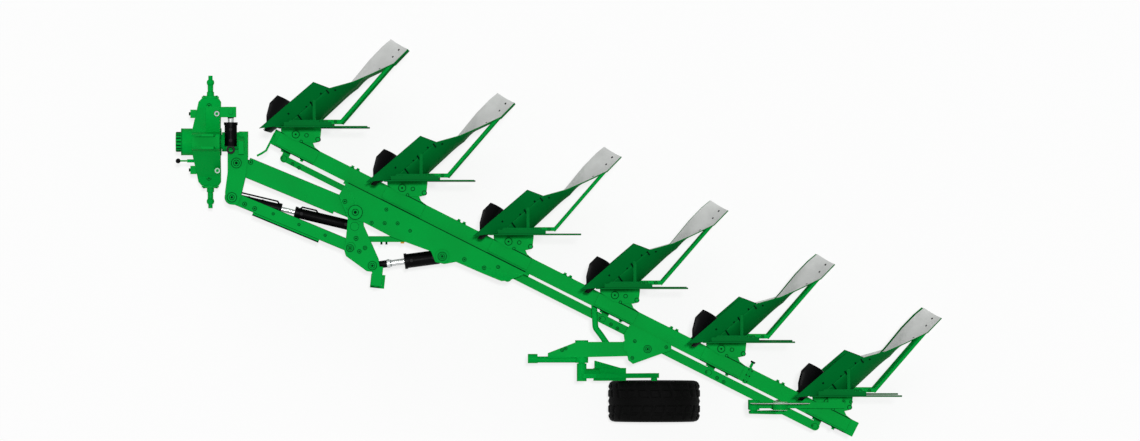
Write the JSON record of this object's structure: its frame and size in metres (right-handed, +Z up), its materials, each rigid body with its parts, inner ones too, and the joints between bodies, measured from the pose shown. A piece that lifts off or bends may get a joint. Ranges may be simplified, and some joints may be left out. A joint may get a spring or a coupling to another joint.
{
  "type": "reversible plough",
  "caption": "Mounted reversible mouldboard plough with swivelling bodies on a diagonal beam, turnover headstock, depth wheel, disc coulter and parking stand",
  "frame": {"origin": "on the ground under the middle of the machine's outline", "axes": "+X rearwards, +Y to the ploughed side of the picture's set, +Z up"},
  "size_m": [6.4259, 3.3355, 1.73],
  "materials": {
    "green_paint": "satin paint",
    "dark_green_paint": "satin paint",
    "worn_steel": "ground steel",
    "black_paint": "satin paint",
    "plated_rod": "plated",
    "zinc": "zinc plated",
    "tyre_rubber": "rubber"
  },
  "bodies": {
    "frame": {"beam": "green_paint", "console_lugs": "green_paint", "console_pins": "zinc", "frame_plates": "green_paint", "frame_pins": "zinc", "wheel_carrier": "green_paint"},
    "control_rod": {"control_rod": "green_paint", "steering_pins": "zinc"},
    "swing_lever": {"swing_lever": "green_paint", "lever_pins": "zinc", "stand_pin": "zinc"},
    "upper_arm": {"upper_arm": "green_paint"},
    "lower_arm": {"lower_arm": "green_paint"},
    "turning_head": {"turning_head": "green_paint", "head_pins": "zinc"},
    "headstock": {"headstock": "green_paint", "cross_shaft": "zinc", "link_balls": "zinc", "turn_bracket": "green_paint", "turn_cylinder_barrel": "black_paint", "turn_cylinder_rod": "plated_rod"},
    "width_barrel": {"width_cylinder_barrel": "black_paint"},
    "width_rod": {"width_cylinder_rod": "plated_rod"},
    "swing_barrel": {"swing_cylinder_barrel": "black_paint"},
    "swing_rod": {"swing_cylinder_rod": "plated_rod"},
    "wheel_arm": {"wheel_arm": "green_paint"},
    "wheel": {"tyre": "tyre_rubber", "wheel_rim": "green_paint"},
    "disc_lower": {"coulter_disc_lower": "worn_steel"},
    "disc_upper": {"coulter_disc_upper": "worn_steel"},
    "stand": {"stand": "green_paint"},
    "plough_body_1": {"console_1": "green_paint", "shares_1": "dark_green_paint", "mouldboards_1": "dark_green_paint", "skimmers_1": "black_paint"},
    "plough_body_2": {"console_2": "green_paint", "shares_2": "dark_green_paint", "mouldboards_2": "dark_green_paint", "skimmers_2": "black_paint"},
    "plough_body_3": {"console_3": "green_paint", "shares_3": "dark_green_paint", "mouldboards_3": "dark_green_paint", "skimmers_3": "black_paint"},
    "plough_body_4": {"console_4": "green_paint", "shares_4": "dark_green_paint", "mouldboards_4": "dark_green_paint", "skimmers_4": "black_paint"},
    "plough_body_5": {"console_5": "green_paint", "shares_5": "dark_green_paint", "mouldboards_5": "dark_green_paint", "skimmers_5": "black_paint"},
    "plough_body_6": {"console_6": "green_paint", "shares_6": "dark_green_paint", "mouldboards_6": "dark_green_paint", "skimmers_6": "black_paint", "coulter_arms": "green_paint"}
  },
  "joints": [
    {"name": "frame_swing", "type": "hinge", "parent": "frame", "child": "swing_lever", "pos_m": [-1.706, 0.203, 0.865], "axis": [0, 0, 1], "range_deg": [-4, 4]},
    {"name": "front_shift", "type": "hinge", "parent": "swing_lever", "child": "upper_arm", "pos_m": [-1.706, 0.203, 0.865], "axis": [0, 0, 1], "range_deg": [-5, 5]},
    {"name": "lower_arm_pivot", "type": "hinge", "parent": "swing_lever", "child": "lower_arm", "pos_m": [-1.744, -0.085, 0.865], "axis": [0, 0, 1], "range_deg": [-5, 5]},
    {"name": "head_pivot", "type": "hinge", "parent": "upper_arm", "child": "turning_head", "pos_m": [-2.705, 0.617, 0.865], "axis": [0, 0, 1], "range_deg": [-5, 5]},
    {"name": "turnover", "type": "hinge", "parent": "turning_head", "child": "headstock", "pos_m": [-2.93, 0.795, 0.865], "axis": [-1, 0, 0], "range_deg": [0, 180]},
    {"name": "width_cylinder_pivot", "type": "hinge", "parent": "swing_lever", "child": "width_barrel", "pos_m": [-1.712, 0.084, 0.865], "axis": [0, 0, 1], "range_deg": [-5.09, 5.09]},
    {"name": "width_cylinder_stroke", "type": "slide", "parent": "width_barrel", "child": "width_rod", "axis": [-0.9729, 0.2312, 0], "range_m": [-0.01599, 0.01599]},
    {"name": "swing_cylinder_pivot", "type": "hinge", "parent": "frame", "child": "swing_barrel", "pos_m": [-0.976, -0.167, 0.865], "axis": [0, 0, 1], "range_deg": [-0.61, 0.61]},
    {"name": "swing_cylinder_stroke", "type": "slide", "parent": "swing_barrel", "child": "swing_rod", "axis": [-0.9913, -0.1317, 0], "range_m": [-0.03332, 0.03332]},
    {"name": "furrow_width", "type": "hinge", "parent": "frame", "child": "plough_body_1", "pos_m": [-2.206, 0.857, 0.865], "axis": [0, 0, 1], "range_deg": [-6.2, 3.2]},
    {"name": "console_pivot_2", "type": "hinge", "parent": "frame", "child": "plough_body_2", "pos_m": [-1.31297, 0.407, 0.865], "axis": [0, 0, 1], "range_deg": [-6.2, 3.2]},
    {"name": "console_pivot_3", "type": "hinge", "parent": "frame", "child": "plough_body_3", "pos_m": [-0.41994, -0.043, 0.865], "axis": [0, 0, 1], "range_deg": [-6.2, 3.2]},
    {"name": "console_pivot_4", "type": "hinge", "parent": "frame", "child": "plough_body_4", "pos_m": [0.47309, -0.493, 0.865], "axis": [0, 0, 1], "range_deg": [-6.2, 3.2]},
    {"name": "console_pivot_5", "type": "hinge", "parent": "frame", "child": "plough_body_5", "pos_m": [1.36611, -0.943, 0.865], "axis": [0, 0, 1], "range_deg": [-6.2, 3.2]},
    {"name": "console_pivot_6", "type": "hinge", "parent": "frame", "child": "plough_body_6", "pos_m": [2.25914, -1.393, 0.865], "axis": [0, 0, 1], "range_deg": [-6.2, 3.2]},
    {"name": "control_rod_pivot", "type": "hinge", "parent": "plough_body_1", "child": "control_rod", "pos_m": [-2.3077, 0.65518, 0.72], "axis": [0, 0, 1], "range_deg": [-3.2, 6.2]},
    {"name": "wheel_swing", "type": "hinge", "parent": "frame", "child": "wheel_arm", "pos_m": [0.1945, -1.1, 0.865], "axis": [0, -1, 0], "range_deg": [0, 75.9]},
    {"name": "wheel_spin", "type": "hinge", "parent": "wheel_arm", "child": "wheel", "pos_m": [0.8055, -1.389, 0.388], "axis": [0, 1, 0], "continuous": true},
    {"name": "coulter_spin_lower", "type": "hinge", "parent": "plough_body_6", "child": "disc_lower", "pos_m": [1.85614, -1.396, 0.33], "axis": [0, 1, 0], "continuous": true},
    {"name": "coulter_spin_upper", "type": "hinge", "parent": "plough_body_6", "child": "disc_upper", "pos_m": [1.85614, -1.396, 1.4], "axis": [0, 1, 0], "continuous": true},
    {"name": "stand_swing", "type": "hinge", "parent": "swing_lever", "child": "stand", "pos_m": [-1.53, -0.38, 0.848], "axis": [-0.1045, -0.9945, 0], "range_deg": [0, 90]}
  ],
  "couplings": [
    {"joint": "lower_arm_pivot", "follows": "front_shift", "ratio": 1},
    {"joint": "head_pivot", "follows": "front_shift", "ratio": -1},
    {"joint": "width_cylinder_pivot", "follows": "front_shift", "ratio": 1.0075},
    {"joint": "width_cylinder_stroke", "follows": "front_shift", "m_per_rad": 0.17182},
    {"joint": "swing_cylinder_pivot", "follows": "frame_swing", "ratio": -0.13973},
    {"joint": "swing_cylinder_stroke", "follows": "frame_swing", "m_per_rad": -0.46293},
    {"joint": "console_pivot_2", "follows": "furrow_width", "ratio": 1},
    {"joint": "console_pivot_3", "follows": "furrow_width", "ratio": 1},
    {"joint": "console_pivot_4", "follows": "furrow_width", "ratio": 1},
    {"joint": "console_pivot_5", "follows": "furrow_width", "ratio": 1},
    {"joint": "console_pivot_6", "follows": "furrow_width", "ratio": 1},
    {"joint": "control_rod_pivot", "follows": "furrow_width", "ratio": -1}
  ]
}
